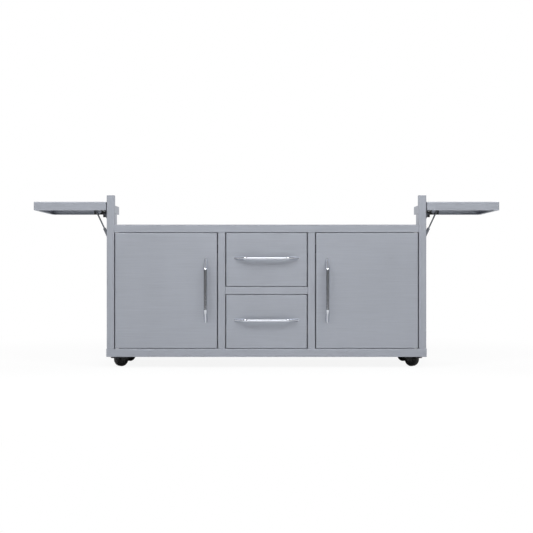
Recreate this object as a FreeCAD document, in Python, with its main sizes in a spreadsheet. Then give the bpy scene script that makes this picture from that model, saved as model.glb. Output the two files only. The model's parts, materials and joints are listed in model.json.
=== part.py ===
import FreeCAD
import Part
import Sketcher
import math
import os
import re

# Griddle cart: a steel cabinet on casters with two doors, two drawers and two drop shelves.
# X runs along the front, +Y goes to the back, +Z is up, and the floor is Z = 0.

doc = FreeCAD.newDocument("GriddleCart")
sizes = doc.addObject("Spreadsheet::Sheet", "Sizes")
workings = doc.addObject("Spreadsheet::Sheet", "Workings")

GIVEN = [
    ("frame_width", 1694, "over the outer faces of the posts"),
    ("frame_depth", 560, "front face to rear face of the posts"),
    ("tube", 40, "side of the square tube"),
    ("tube_wall", 2, "wall of the square tube"),
    ("tube_round", 3, "outer corner radius of the square tube"),
    ("drain", 4, "radius of the drain hole in each closed tube"),
    ("fork_room", 26, "top of a caster wheel to the underside of the floor"),
    ("base_high", 44, "height of the front and rear base rails"),
    ("cross_rail", 20, "height of the base rails that run front to back"),
    ("base_proud", 2, "base beyond the posts on each side"),
    ("opening_height", 616, "clear height of the door openings"),
    ("post_rise", 157, "front posts above the deck"),
    ("drawer_opening", 436, "clear width of the drawer openings"),
    ("sheet", 1.5, "thickness of the folded sheet"),
    ("side_recess", 36, "side panels behind the outer face of the posts"),
    ("front_thick", 16, "thickness of doors and drawer fronts"),
    ("front_gap", 2.5, "gap above and below doors and drawer fronts"),
    ("side_gap", 4, "gap beside doors and drawer fronts"),
    ("front_round", 2.5, "bend radius of the front edges"),
    ("handle_feet", 316, "handle foot to foot"),
    ("handle_reach", 45, "front of the handle bar from the face"),
    ("handle_bar", 18, "diameter of the handle bar"),
    ("handle_run", 46, "length over which each handle leg slopes"),
    ("handle_bend", 30, "bend radius of the handle centre line"),
    ("handle_inset", 60, "handle bar from the free edge of the door"),
    ("handle_lift", 7, "drawer handle above the middle of its front"),
    ("hinge_inset", 12, "door pivot from the hinge edge"),
    ("hinge_back", 8, "door pivot behind the front face"),
    ("pin_radius", 4, "door pivot pin"),
    ("pin_depth", 10, "door pivot pin inside the rail"),
    ("running_play", 0.3, "clearance of turning and sliding pieces"),
    ("bush_wall", 2, "wall of the pivot bush"),
    ("bush_flange", 1, "flange of the pivot bush"),
    ("catch_wide", 14, "door catch beside the stile"),
    ("catch_high", 46, "door catch"),
    ("catch_drop", 110, "foot of the door catch below the top rail"),
    ("slide_length", 450, "drawer slide"),
    ("slide_height", 45, "drawer slide"),
    ("slide_space", 13, "room for a slide beside the drawer box"),
    ("box_depth", 470, "drawer box front to back"),
    ("box_height", 215, "drawer box"),
    ("box_lift", 26, "drawer box above the bottom of its front"),
    ("shelf_length", 385, "side shelf outwards"),
    ("shelf_depth", 500, "side shelf front to back"),
    ("shelf_thick", 45, "depth of the shelf flanges"),
    ("shelf_drop", 34, "shelf top below the top of the post"),
    ("shelf_gap", 3, "shelf from the post"),
    ("shelf_setback", 5, "shelf behind the front face of the post"),
    ("shelf_lip", 16, "return lip under the shelf"),
    ("shelf_round", 4, "bend radius of the shelf"),
    ("leaf", 2, "hinge leaf thickness"),
    ("leaf_high", 32, "fixed hinge leaf below its axis"),
    ("knuckle", 5, "hinge knuckle radius"),
    ("hinge_pin", 2.4, "shelf hinge pin radius"),
    ("hinge_length", 60, "one shelf hinge"),
    ("hinge_sink", 5.5, "shelf hinge axis below the shelf"),
    ("hinge_out", 6.5, "shelf hinge axis beyond the post"),
    ("rear_hinge", 300, "start of the rear shelf hinge behind the front face"),
    ("bracket_margin", 10, "hinge bracket beyond each end of its hinge"),
    ("bracket_leg", 60, "lower leg of the hinge bracket on the side panel"),
    ("bracket_sink", 9, "step of the hinge bracket below the deck"),
    ("strut_front", 80, "front strut behind the front face"),
    ("strut_rear", 396, "rear strut behind the front face"),
    ("strut_out", 66, "upper strut pivot beyond the post"),
    ("strut_in", 24, "lower strut pivot inside the face of the post"),
    ("strut_low", 191, "lower strut pivot below the upper one"),
    ("strut_tube", 8, "strut tube radius"),
    ("strut_rod", 4, "strut rod radius"),
    ("strut_shell", 113, "strut tube end from its pivot"),
    ("strut_pin", 3, "strut pivot pin radius"),
    ("slot_run", 22.5, "slot for the upper strut pin"),
    ("foot_steel", 3, "strut foot and hanger plate"),
    ("foot_long", 30, "strut foot front to back"),
    ("foot_high", 46, "strut foot"),
    ("caster_inset", 55, "swivel axis inside the side rails of the base"),
    ("caster_set", 80, "swivel axis from the front and rear base rails"),
    ("front_turn", 35, "front casters turned forward from pointing outwards, in degrees"),
    ("rear_turn", 45, "rear casters turned forward from pointing outwards, in degrees"),
    ("wheel_radius", 37.5, "caster wheel"),
    ("wheel_width", 30, "caster wheel"),
    ("trail", 36, "wheel axle from the swivel axis"),
    ("fork_steel", 3, "fork plate"),
    ("axle", 4, "axle radius"),
    ("kingpin", 5.5, "radius of the pin that a caster swivels on"),
    ("plate_steel", 3.3, "caster plate"),
    ("plate_long", 96, "caster plate across the cart"),
    ("plate_wide", 76, "caster plate front to back"),
    ("crown", 24, "radius of the fork crown"),
    ("crown_steel", 5, "thickness of the fork crown"),
    ("race", 16, "radius of the swivel race"),
    ("swivel_high", 11, "top of the fork crown to the underside of the floor"),
    ("hub", 11, "radius of the wheel hub"),
    ("tread", 10, "thickness of the wheel tread"),
    ("pedal_out", 5, "brake pin beyond the wheel"),
    ("pedal_angle", 54, "brake pin above the level of the axle, in degrees"),
    ("pedal_pin", 2, "brake pin radius"),
]

DERIVED = [
    ("half_width", "frame_width / 2"),
    ("front_y", "(handle_reach - frame_depth) / 2"),
    ("rear_y", "(handle_reach + frame_depth) / 2"),
    ("base_top", "2 * wheel_radius + fork_room"),
    ("base_bottom", "base_top - base_high"),
    ("rail_bottom", "base_top + opening_height"),
    ("deck_top", "rail_bottom + tube"),
    ("post_top", "deck_top + post_rise"),
    ("post_in", "half_width - tube"),
    ("stile_in", "drawer_opening / 2"),
    ("stile_out", "stile_in + tube"),
    ("door_width", "post_in - stile_out - 2 * side_gap"),
    ("door_height", "opening_height - 2 * front_gap"),
    ("drawer_room", "(opening_height - tube) / 2"),
    ("drawer_wide", "drawer_opening - 2 * side_gap"),
    ("drawer_high", "drawer_room - 2 * front_gap"),
    ("divider_bottom", "base_top + drawer_room"),
    ("box_width", "drawer_opening - 2 * slide_space"),
    ("panel_out", "half_width - side_recess"),
    ("panel_in", "panel_out - sheet"),
    ("inner_depth", "frame_depth - 2 * tube"),
    ("back_of_front", "front_y + tube"),
    ("shelf_top", "post_top - shelf_drop"),
    ("shelf_bottom", "shelf_top - shelf_thick"),
    ("fold_x", "half_width + hinge_out"),
    ("fold_z", "shelf_bottom - hinge_sink"),
    ("strut_top", "fold_z + 1.5"),
    ("strut_foot", "strut_top - strut_low"),
    ("pivot_x", "post_in - side_gap - hinge_inset"),
    ("pivot_y", "front_y + hinge_back"),
    ("bush_radius", "pin_radius + running_play + bush_wall"),
    ("handle_rise", "handle_reach - handle_bar / 2"),
    ("caster_x", "half_width + base_proud - tube - caster_inset"),
    ("caster_y", "tube + caster_set"),
    ("leg_gap", "wheel_width / 2 + 2"),
    ("pedal_x", "trail + (wheel_radius + pedal_out) * cos(pedal_angle)"),
    ("pedal_z", "wheel_radius + (wheel_radius + pedal_out) * sin(pedal_angle)"),
    ("pedal_wide", "wheel_width - 8"),
]


def fill_sheet():
    """Write every named size into the sheet."""
    for row, (name, value, note) in enumerate(GIVEN, start=1):
        sizes.set("A%d" % row, name)
        sizes.set("B%d" % row, str(value))
        sizes.set("C%d" % row, note)
        sizes.setAlias("B%d" % row, name)
    first = len(GIVEN) + 2
    for row, (name, formula) in enumerate(DERIVED, start=first):
        sizes.set("A%d" % row, name)
        sizes.set("B%d" % row, "=" + formula)
        sizes.setAlias("B%d" % row, name)
    doc.recompute()


NAMES = set(entry[0] for entry in GIVEN) | set(entry[0] for entry in DERIVED)


def linked(text):
    """Point each size name in an expression at the sheet."""
    def swap(match):
        word = match.group(0)
        return "Sizes." + word if word in NAMES else word
    return re.sub(r"[A-Za-z_]+", swap, str(text))


def size(name):
    """Current value of one named size."""
    return float(sizes.get(name))


def bind(item, prop, text):
    """Drive one property of an object from the sheet."""
    item.setExpression(prop, linked(text))


def put(item, at):
    """Drive the place of an object from the sheet."""
    for axis, text in zip("xyz", at):
        bind(item, "Placement.Base." + axis, text)


TURNS = {
    "X": FreeCAD.Rotation(FreeCAD.Vector(0, 1, 0), 90),
    "Y": FreeCAD.Rotation(FreeCAD.Vector(1, 0, 0), -90),
    "Z": FreeCAD.Rotation(),
}


def new_body(label, at=("0", "0", "0")):
    """Start one solid piece at a driven place."""
    body = doc.addObject("PartDesign::Body", label)
    body.Label = label
    put(body, at)
    return body


def block(body, dims, at=("0", "0", "0"), cut=False):
    """Add or remove a box with driven sides."""
    kind = "PartDesign::SubtractiveBox" if cut else "PartDesign::AdditiveBox"
    item = body.newObject(kind, body.Name + "Block")
    for prop, text in zip(("Length", "Width", "Height"), dims):
        bind(item, prop, text)
    put(item, at)
    return item


def rod(body, radius, length, at=("0", "0", "0"), axis="Z", cut=False):
    """Add or remove a cylinder along one axis."""
    kind = "PartDesign::SubtractiveCylinder" if cut else "PartDesign::AdditiveCylinder"
    item = body.newObject(kind, body.Name + "Rod")
    bind(item, "Radius", radius)
    bind(item, "Height", length)
    item.Placement = FreeCAD.Placement(FreeCAD.Vector(), TURNS[axis])
    put(item, at)
    return item


def soften(body, radius, wanted):
    """Round the edges of the latest feature that a test picks out."""
    doc.recompute()
    last = body.Tip
    names = []
    for number, edge in enumerate(last.Shape.Edges, start=1):
        if wanted(edge):
            names.append("Edge%d" % number)
    item = body.newObject("PartDesign::Fillet", body.Name + "Round")
    item.Base = (last, names)
    bind(item, "Radius", radius)
    return item


def along(axis):
    """Test for straight edges that run along one axis."""
    def test(edge):
        way = edge.tangentAt(edge.FirstParameter)
        return edge.Curve.TypeId == "Part::GeomLine" and abs(getattr(way, axis)) > 0.99
    return test


def at_height(axis, height):
    """Test for edges that lie in one plane across an axis."""
    def test(edge):
        return all(abs(getattr(point.Point, axis) - height) < 1e-6 for point in edge.Vertexes)
    return test


def plane_sketch(body, role):
    """Start a sketch on one of the origin planes of a body."""
    sketch = body.newObject("Sketcher::SketchObject", body.Name + "Sketch")
    support = [item for item in body.Origin.OriginFeatures if item.Role == role][0]
    sketch.AttachmentSupport = [(support, "")]
    sketch.MapMode = "FlatFace"
    return sketch


def outline(sketch, corners):
    """Draw a closed outline whose corners are driven from the sheet."""
    points = []
    for across, up in corners:
        points.append(FreeCAD.Vector(worked(across), worked(up), 0))
    count = len(points)
    for index in range(count):
        sketch.addGeometry(Part.LineSegment(points[index], points[(index + 1) % count]), False)
    for index in range(count):
        sketch.addConstraint(Sketcher.Constraint("Coincident", index, 2, (index + 1) % count, 1))
    for index, (across, up) in enumerate(corners):
        for kind, text in (("DistanceX", across), ("DistanceY", up)):
            value = worked(text)
            number = sketch.addConstraint(Sketcher.Constraint(kind, -1, 1, index, 1, value))
            sketch.setExpression("Constraints[%d]" % number, linked(text))


def worked(text):
    """Work out an expression of named sizes as a number."""
    workings.set("A1", "=" + linked(text))
    workings.recompute()
    return float(workings.get("A1"))


def pad(body, sketch, length, back=True):
    """Pad a sketch, away from or along its normal."""
    item = body.newObject("PartDesign::Pad", body.Name + "Pad")
    item.Profile = sketch
    bind(item, "Length", length)
    item.Reversed = back
    return item


def pocket(body, sketch):
    """Cut a sketch right through a body on both sides."""
    item = body.newObject("PartDesign::Pocket", body.Name + "Pocket")
    item.Profile = sketch
    item.Type = "ThroughAll"
    item.Midplane = True
    return item


def mirrored(item, label):
    """Make the right-hand twin of a left-hand piece."""
    twin = doc.addObject("Part::Mirroring", label)
    twin.Label = label
    twin.Source = item
    twin.Base = FreeCAD.Vector(0, 0, 0)
    twin.Normal = FreeCAD.Vector(1, 0, 0)
    return twin


def group(label, items):
    """Keep like pieces together as separate solids of one node."""
    holder = doc.addObject("Part::Compound", label)
    holder.Label = label
    holder.Links = items
    return holder


fill_sheet()
nodes = []


def square_tube(label, long_axis, length, at, open_end=False, high="tube"):
    """Square or flatter tube with rounded edges, closed ends and a drain hole underneath."""
    dims = ["tube", "tube", high]
    inner = ["%s - 2 * tube_wall" % side for side in dims]
    spot = ["tube_wall", "tube_wall", "tube_wall"]
    place = "XYZ".index(long_axis)
    dims[place] = length
    inner[place] = "%s - 2 * tube_wall" % length
    body = new_body(label, at)
    block(body, dims)
    soften(body, "tube_round", along(long_axis.lower()))
    if open_end:
        spot[place] = "-tube_wall"
        inner[place] = length
    block(body, inner, spot, cut=True)
    if not open_end:
        hole = ["tube / 2", "tube / 2", "-1"]
        if long_axis != "Z":
            hole[place] = "3 * tube"
        rod(body, "drain", "tube_wall + 2", hole, cut=True)
    return body


# Base of square tube

base_long = "frame_width + 2 * base_proud"
front_rail = square_tube("base_front_rail", "X", "(%s)" % base_long,
                         ("-half_width - base_proud", "front_y", "base_bottom"), high="base_high")
for side in ("-1", "1"):
    rod(front_rail, "bush_radius", "tube",
        ("half_width + base_proud + %s * pivot_x" % side, "hinge_back", "base_high / 2"), cut=True)
rear_rail = square_tube("base_rear_rail", "X", "(%s)" % base_long,
                        ("-half_width - base_proud", "rear_y - tube", "base_bottom"), high="base_high")
depth_rails = []
for name, left in (("BaseSideLeft", "-half_width - base_proud"),
                   ("BaseCrossLeft", "-stile_out"),
                   ("BaseCrossRight", "stile_in"),
                   ("BaseSideRight", "half_width + base_proud - tube")):
    spot = (left, "back_of_front", "base_top - cross_rail")
    depth_rails.append(square_tube(name, "Y", "inner_depth", spot, high="cross_rail"))
nodes += [front_rail, rear_rail, group("base_depth_rails", depth_rails)]

# Posts and front frame

front_post = square_tube("FrontPostLeft", "Z", "(post_top - base_top)",
                         ("-half_width", "front_y", "base_top"), open_end=True)
rear_post = square_tube("RearPostLeft", "Z", "(deck_top - base_top)",
                        ("-half_width", "rear_y - tube", "base_top"), open_end=True)
nodes.append(group("front_posts", [front_post, mirrored(front_post, "FrontPostRight")]))
nodes.append(group("rear_posts", [rear_post, mirrored(rear_post, "RearPostRight")]))

top_front = square_tube("top_front_rail", "X", "(2 * post_in)", ("-post_in", "front_y", "rail_bottom"))
for side in ("-1", "1"):
    rod(top_front, "bush_radius", "tube",
        ("post_in + %s * pivot_x" % side, "hinge_back", "-tube / 2"), cut=True)
top_rear = square_tube("top_rear_rail", "X", "(2 * post_in)", ("-post_in", "rear_y - tube", "rail_bottom"))
top_side = square_tube("TopSideLeft", "Y", "inner_depth", ("-panel_in", "back_of_front", "rail_bottom"))
nodes += [top_front, top_rear, group("top_side_rails", [top_side, mirrored(top_side, "TopSideRight")])]

stile = square_tube("StileLeft", "Z", "opening_height", ("-stile_out", "front_y", "base_top"))
nodes.append(group("drawer_stiles", [stile, mirrored(stile, "StileRight")]))
divider_at = ("-stile_in", "front_y", "divider_bottom")
divider = square_tube("drawer_divider_rail", "X", "drawer_opening", divider_at)
nodes.append(divider)

# Panels

floor = new_body("floor_panel", ("-panel_in", "back_of_front", "base_top"))
block(floor, ("2 * panel_in", "inner_depth", "sheet"))
deck = new_body("deck_panel", ("-post_in", "front_y", "deck_top"))
block(deck, ("2 * post_in", "frame_depth", "sheet"))
soften(deck, "sheet / 3", lambda edge: along("x")(edge) and at_height("y", 0.0)(edge))
back = new_body("back_panel", ("-post_in", "rear_y - tube / 2", "base_top"))
block(back, ("2 * post_in", "sheet", "opening_height"))
side_panel = new_body("SidePanelLeft", ("-panel_out", "back_of_front", "base_top"))
block(side_panel, ("sheet", "inner_depth", "deck_top - base_top"))
nodes += [floor, deck, back, group("side_panels", [side_panel, mirrored(side_panel, "SidePanelRight")])]

partition = new_body("PartitionLeft", ("-stile_in - tube / 2", "back_of_front", "base_top + sheet"))
partition_high = "deck_top - base_top - sheet"
block(partition, ("sheet", "inner_depth", partition_high), ("tube / 2 - sheet", "0", "0"))
block(partition, ("tube / 2", "sheet", partition_high))
block(partition, ("tube / 2", "sheet", partition_high), ("0", "inner_depth - sheet", "0"))
nodes.append(group("partition_panels", [partition, mirrored(partition, "PartitionRight")]))

# Doors


def front_pan(label, wide, high, at):
    """Folded front skin, open at the back, with rounded front edges."""
    body = new_body(label, at)
    block(body, (wide, "front_thick", high))
    soften(body, "front_round", at_height("y", 0.0))
    block(body, ("%s - 2 * sheet" % wide, "front_thick", "%s - 2 * sheet" % high),
          ("sheet", "sheet", "sheet"), cut=True)
    return body


def liner(label, wide, high, at):
    """Flat back sheet that closes a front pan."""
    body = new_body(label, at)
    block(body, ("%s - 2 * sheet" % wide, "sheet", "%s - 2 * sheet" % high),
          ("sheet", "front_thick - sheet", "sheet"))
    return body


def bow_handle(label, at, upright):
    """Round bar bent back to two feet that end flush on the face."""
    body = new_body(label, at)
    turn = FreeCAD.Rotation(FreeCAD.Vector(0, 0, 1), 180)
    if upright:
        turn = turn.multiply(FreeCAD.Rotation(FreeCAD.Vector(0, 1, 0), 90))
    body.Placement = FreeCAD.Placement(body.Placement.Base, turn)
    path = plane_sketch(body, "XY_Plane")
    rise = size("handle_rise")
    run = size("handle_run")
    half = size("handle_feet") / 2
    extra = size("handle_bar") / 2
    slope = math.atan2(rise, run)
    bend = size("handle_bend")
    cut_back = bend * math.tan(slope / 2)
    knee = half - run
    start = FreeCAD.Vector(-half - extra / math.tan(slope), -extra, 0)
    leave = FreeCAD.Vector(-knee - cut_back * math.cos(slope), rise - cut_back * math.sin(slope), 0)
    join = FreeCAD.Vector(-knee + cut_back, rise, 0)
    centre = FreeCAD.Vector(join.x, rise - bend, 0)

    def flip(point):
        return FreeCAD.Vector(-point.x, point.y, 0)

    quarter = math.pi / 2
    path.addGeometry(Part.LineSegment(start, leave), False)
    circle = Part.Circle(centre, FreeCAD.Vector(0, 0, 1), bend)
    path.addGeometry(Part.ArcOfCircle(circle, quarter, quarter + slope), False)
    path.addGeometry(Part.LineSegment(join, flip(join)), False)
    circle = Part.Circle(flip(centre), FreeCAD.Vector(0, 0, 1), bend)
    path.addGeometry(Part.ArcOfCircle(circle, quarter - slope, quarter), False)
    path.addGeometry(Part.LineSegment(flip(leave), flip(start)), False)
    for first, first_end, second, second_end in ((0, 2, 1, 2), (1, 1, 2, 1), (2, 2, 3, 2), (3, 1, 4, 1)):
        path.addConstraint(Sketcher.Constraint("Tangent", first, first_end, second, second_end))
    path.addConstraint(Sketcher.Constraint("Horizontal", 2))
    path.addConstraint(Sketcher.Constraint("Equal", 1, 3))
    path.addConstraint(Sketcher.Constraint("Symmetric", 0, 1, 4, 2, -2))
    slant = "atan(handle_rise / handle_run)"
    driven = (
        (Sketcher.Constraint("DistanceY", -1, 1, 2, 1, rise), "handle_rise"),
        (Sketcher.Constraint("Radius", 1, bend), "handle_bend"),
        (Sketcher.Constraint("DistanceY", 0, 1, -1, 1, extra), "handle_bar / 2"),
        (Sketcher.Constraint("DistanceX", 0, 1, -1, 1, -start.x),
         "handle_feet / 2 + handle_bar / 2 * handle_run / handle_rise"),
        (Sketcher.Constraint("Angle", 0, slope), slant),
    )
    for rule, text in driven:
        number = path.addConstraint(rule)
        path.setExpression("Constraints[%d]" % number, linked(text))
    path.addConstraint(Sketcher.Constraint("Equal", 0, 4))
    ring = plane_sketch(body, "YZ_Plane")
    middle = FreeCAD.Vector(rise, 0, 0)
    ring.addGeometry(Part.Circle(middle, FreeCAD.Vector(0, 0, 1), size("handle_bar") / 2), False)
    number = ring.addConstraint(Sketcher.Constraint("Diameter", 0, size("handle_bar")))
    ring.setExpression("Constraints[%d]" % number, linked("handle_bar"))
    number = ring.addConstraint(Sketcher.Constraint("DistanceX", -1, 1, 0, 3, rise))
    ring.setExpression("Constraints[%d]" % number, linked("handle_rise"))
    ring.addConstraint(Sketcher.Constraint("PointOnObject", 0, 3, -1))
    doc.recompute()
    sweep = body.newObject("PartDesign::AdditivePipe", label + "Sweep")
    sweep.Profile = ring
    sweep.Spine = (path, ["Edge%d" % (index + 1) for index in range(5)])
    block(body, ("2 * handle_feet", "handle_reach", "2 * handle_bar"),
          ("-handle_feet", "-handle_reach", "-handle_bar"), cut=True)
    return body


door_at = ("-post_in + side_gap", "front_y", "base_top + front_gap")
skin = front_pan("left_door_skin", "door_width", "door_height", door_at)
for height in ("-1", "door_height - sheet - 1"):
    rod(skin, "pin_radius", "sheet + 2", ("hinge_inset", "hinge_back", height), cut=True)
door_back = liner("left_door_liner", "door_width", "door_height", door_at)
bar = bow_handle("left_door_handle",
                 ("-stile_out - side_gap - handle_inset", "front_y", "base_top + opening_height / 2"), True)


def door_pivot(label, top):
    """Pivot pin and the block in the corner of the door that holds it."""
    body = new_body(label, door_at)
    lift = "door_height - sheet - 24" if top else "sheet"
    block(body, ("2 * hinge_inset", "front_thick - 2 * sheet", "24"), ("sheet", "sheet", lift))
    foot = "door_height - 20" if top else "-front_gap - pin_depth"
    rod(body, "pin_radius", "front_gap + pin_depth + 20", ("hinge_inset", "hinge_back", foot))
    return body


pins = group("left_door_pivot_pins", [door_pivot("DoorPivotLow", False), door_pivot("DoorPivotHigh", True)])


def pivot_bush(label, top):
    """Flanged bush in the rail for one door pivot."""
    foot = "rail_bottom - bush_flange" if top else "base_top - pin_depth"
    body = new_body(label, ("-pivot_x", "pivot_y", foot))
    flange_at = "0" if top else "pin_depth"
    rod(body, "bush_radius", "pin_depth + bush_flange")
    rod(body, "bush_radius + bush_wall", "bush_flange", ("0", "0", flange_at))
    rod(body, "pin_radius + running_play", "pin_depth + 2", ("0", "0", "-1"), cut=True)
    return body


bushes = [pivot_bush("BushLow", False), pivot_bush("BushHigh", True)]
bushes += [mirrored(bushes[0], "BushLowRight"), mirrored(bushes[1], "BushHighRight")]
nodes.append(group("door_pivot_bushes", bushes))

catch_at = ("-stile_out - catch_wide", "front_y + front_thick + running_play", "rail_bottom - catch_drop")
catch = new_body("CatchLeft", catch_at)
block(catch, ("catch_wide", "tube - front_thick - 4", "catch_high"))
soften(catch, "1.5", along("y"))
nodes.append(group("door_catches", [catch, mirrored(catch, "CatchRight")]))

for item in (skin, door_back, bar, pins):
    nodes.append(item)
    nodes.append(mirrored(item, item.Label.replace("left_", "right_")))

# Drawers and their slides


def channel(label, at, web_x, flange_x, flange_long, half_high, start, steel="sheet"):
    """Slide member: an upright web with a flange above and below."""
    body = new_body(label, at)
    high = "2 * (%s)" % half_high
    block(body, (steel, "slide_length", high), (web_x, start, "-(%s)" % half_high))
    block(body, (flange_long, "slide_length", steel), (flange_x, start, "-(%s)" % half_high))
    block(body, (flange_long, "slide_length", steel), (flange_x, start, "%s - %s" % (half_high, steel)))
    return body


outers = []
for level, floor_z in (("upper", "divider_bottom + tube + front_gap"), ("lower", "base_top + front_gap")):
    front = front_pan(level + "FrontSkin", "drawer_wide", "drawer_high",
                      ("-drawer_wide / 2", "front_y", floor_z))
    front_back = liner(level + "FrontLiner", "drawer_wide", "drawer_high",
                       ("-drawer_wide / 2", "front_y", floor_z))
    nodes.append(group(level + "_drawer_front", [front, front_back]))
    tray = new_body(level + "_drawer_box",
                    ("-box_width / 2", "front_y + front_thick", "%s + box_lift" % floor_z))
    block(tray, ("box_width", "box_depth", "box_height"))
    block(tray, ("box_width - 2 * sheet", "box_depth - 2 * sheet", "box_height"),
          ("sheet", "sheet", "sheet"), cut=True)
    nodes.append(tray)
    handle_z = "%s + drawer_high / 2 + handle_lift" % floor_z
    nodes.append(bow_handle(level + "_drawer_handle", ("0", "front_y", handle_z), False))
    middle_z = "%s + box_lift + 70" % floor_z
    rail_at = ("-stile_in", "back_of_front + 2", middle_z)
    reach = "slide_space - sheet - running_play"
    outer = channel(level + "SlideOuter", rail_at, "0", "0", reach, "slide_height / 2", "0")
    step = "sheet + running_play"
    inside = "slide_height / 2 - (%s)" % step
    room = "slide_space - 2 * (%s)" % step
    middle = channel(level + "SlideMiddle", rail_at, step, step, room, inside, "0")
    core = "slide_height / 2 - 2 * (%s)" % step
    inner = channel(level + "SlideInner", rail_at, "slide_space - sheet", "2 * (%s)" % step,
                    "slide_space - 2 * (%s)" % step, core, "0")
    outers += [outer, mirrored(outer, level + "SlideOuterRight")]
    nodes.append(group(level + "_slide_middles", [middle, mirrored(middle, level + "SlideMiddleRight")]))
    nodes.append(group(level + "_slide_inners", [inner, mirrored(inner, level + "SlideInnerRight")]))
nodes.append(group("drawer_slide_outers", outers))

# Drop shelves, hinges and struts

tray_at = ("-half_width - shelf_gap - shelf_length", "front_y + shelf_setback", "shelf_bottom")
tray = new_body("left_shelf_tray", tray_at)
block(tray, ("shelf_length", "shelf_depth", "shelf_thick"))
soften(tray, "shelf_round", along("z"))
soften(tray, "shelf_round * 0.75", at_height("z", size("shelf_thick")))
block(tray, ("shelf_length - 2 * sheet", "shelf_depth - 2 * sheet", "shelf_thick - 2 * sheet"),
      ("sheet", "sheet", "sheet"), cut=True)
block(tray, ("shelf_length - 2 * shelf_lip", "shelf_depth - 2 * shelf_lip", "2 * sheet"),
      ("shelf_lip", "shelf_lip", "-sheet / 2"), cut=True)

fixed_leaves = []
moving_leaves = []
brackets = []
feet = []
shells = []
rods = []
third = "hinge_length / 3"

for spot, start in (("Front", "shelf_setback + 4"), ("Rear", "rear_hinge")):
    at = ("-fold_x", "front_y + %s" % start, "fold_z")
    fixed = new_body("FixedLeaf" + spot, at)
    block(fixed, ("leaf", "hinge_length", "leaf_high"), ("hinge_out - leaf", "0", "-leaf_high"))
    notch_at = ("hinge_out - leaf - 1", third, "-knuckle - 1")
    block(fixed, ("leaf + 2", third, "knuckle + 1"), notch_at, cut=True)
    rod(fixed, "hinge_pin", "hinge_length", axis="Y")
    rod(fixed, "knuckle", third, axis="Y")
    rod(fixed, "knuckle", third, ("0", "2 * %s" % third, "0"), axis="Y")
    fixed_leaves.append(fixed)
    moving = new_body("MovingLeaf" + spot, at)
    plate_z = "hinge_sink - leaf"
    block(moving, ("14", "hinge_length", "leaf"), ("-21", "0", plate_z))
    barrel = "%s - 2 * running_play" % third
    barrel_y = "%s + running_play" % third
    block(moving, ("9", barrel, "leaf"), ("-9", barrel_y, plate_z))
    rod(moving, "knuckle", barrel, ("0", barrel_y, "0"), axis="Y")
    rod(moving, "hinge_pin + running_play", "hinge_length", axis="Y", cut=True)
    moving_leaves.append(moving)

support_at = ("-half_width", "front_y + rear_hinge - bracket_margin", "deck_top - bracket_sink")
support = new_body("RearBracketLeft", support_at)
fold = plane_sketch(support, "XZ_Plane")
plate = "2 * sheet"
rise = "fold_z - deck_top + bracket_sink"
outline(fold, [("0", rise), (plate, rise), (plate, plate), ("side_recess", plate),
               ("side_recess", "-bracket_leg"), ("side_recess - %s" % plate, "-bracket_leg"),
               ("side_recess - %s" % plate, "0"), ("0", "0")])
pad(support, fold, "hinge_length + 2 * bracket_margin")
soften(support, "sheet / 2", along("y"))
nodes.append(group("rear_shelf_brackets", [support, mirrored(support, "RearBracketRight")]))

tilt = math.degrees(math.atan2(size("strut_out") + size("strut_in"), size("strut_low")))
tilted = FreeCAD.Rotation(FreeCAD.Vector(0, 1, 0), -tilt)
reach_text = "sqrt((strut_out + strut_in)^2 + strut_low^2)"

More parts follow.
